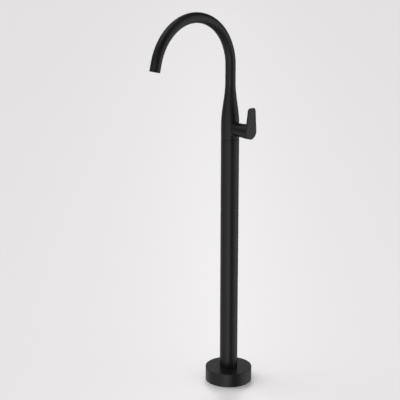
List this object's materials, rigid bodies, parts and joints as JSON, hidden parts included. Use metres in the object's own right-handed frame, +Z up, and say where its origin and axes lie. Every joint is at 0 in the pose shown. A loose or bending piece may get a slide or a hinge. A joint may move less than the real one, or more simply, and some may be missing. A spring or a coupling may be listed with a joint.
{
  "type": "floor standing bath filler",
  "caption": "Tall round column on a low round base, with a gooseneck spout and a single lever mixer on a side nozzle.",
  "frame": {"origin": "on the floor, on the axis of the column, at the centre of the floor bolts", "axes": "+Z up; the spout points to -Y and the mixer nozzle and lever to +X"},
  "size_m": [0.1466, 0.3558, 1.055],
  "materials": {
    "matte_black_coat": "fine matte black coating on brass and steel",
    "zinc_steel": "turned steel, zinc plated",
    "stainless_steel": "plain stainless",
    "braided_steel": "stainless wire braid over a rubber hose",
    "brass": "machined",
    "nickel_brass": "nickel plated, machined",
    "black_rubber": "moulded rubber",
    "black_acetal": "moulded, low friction",
    "grey_acetal": "moulded",
    "white_polymer": "moulded",
    "white_ceramic": "lapped alumina"
  },
  "bodies": {
    "stand": {"floor_base_plate": "zinc_steel", "base_grub_screws": "stainless_steel", "riser_column": "matte_black_coat", "inlet_unions": "brass", "hose_washers": "black_rubber", "hose_tails": "brass", "hose_nuts": "nickel_brass", "lower_ferrules": "stainless_steel", "hot_hose": "braided_steel", "cold_hose": "braided_steel", "swivel_bush": "matte_black_coat", "swivel_stop_pin": "stainless_steel", "glide_ring": "black_acetal"},
    "cover": {"floor_cover": "matte_black_coat", "cover_seal": "black_rubber"},
    "head": {"mixer_body": "matte_black_coat", "spout_tube": "matte_black_coat", "aerator_housing": "black_acetal", "flow_straightener": "grey_acetal", "aerator_washer": "black_rubber", "upper_ferrules": "stainless_steel", "hose_nipples": "nickel_brass", "damping_rings": "black_rubber", "thrust_washer": "black_acetal", "retaining_ring": "stainless_steel", "cartridge_gasket": "black_rubber", "cartridge_base": "white_polymer", "fixed_disc": "white_ceramic", "cartridge_housing": "white_polymer", "retaining_nut": "brass", "dome_cover": "matte_black_coat"},
    "carrier": {"turn_collar": "white_polymer", "pivot_pin": "stainless_steel"},
    "disc": {"moving_disc": "white_ceramic", "disc_driver": "white_polymer"},
    "lever": {"spindle": "brass", "lever_handle": "matte_black_coat", "lever_grub_screw": "stainless_steel", "lever_screw_plug": "black_rubber"}
  },
  "joints": [
    {"name": "cover_lift", "type": "slide", "parent": "stand", "child": "cover", "axis": [0, 0, 1], "range_m": [0, 0.2]},
    {"name": "head_swivel", "type": "hinge", "parent": "stand", "child": "head", "pos_m": [0, 0, 0.7047], "axis": [0, 0, 1], "range_deg": [-60, 60], "deforming": ["hot_hose", "cold_hose"]},
    {"name": "temperature_turn", "type": "hinge", "parent": "head", "child": "carrier", "pos_m": [0.048, 0, 0.7326], "axis": [1, 0, 0], "range_deg": [-45, 45]},
    {"name": "flow_tilt", "type": "hinge", "parent": "carrier", "child": "lever", "pos_m": [0.048, 0, 0.7326], "axis": [0, 1, 0], "range_deg": [0, 20]},
    {"name": "disc_slide", "type": "slide", "parent": "carrier", "child": "disc", "axis": [0, 0, 1], "range_m": [0, 0.00412]}
  ],
  "couplings": [
    {"joint": "disc_slide", "follows": "flow_tilt", "m_per_rad": 0.011758}
  ]
}
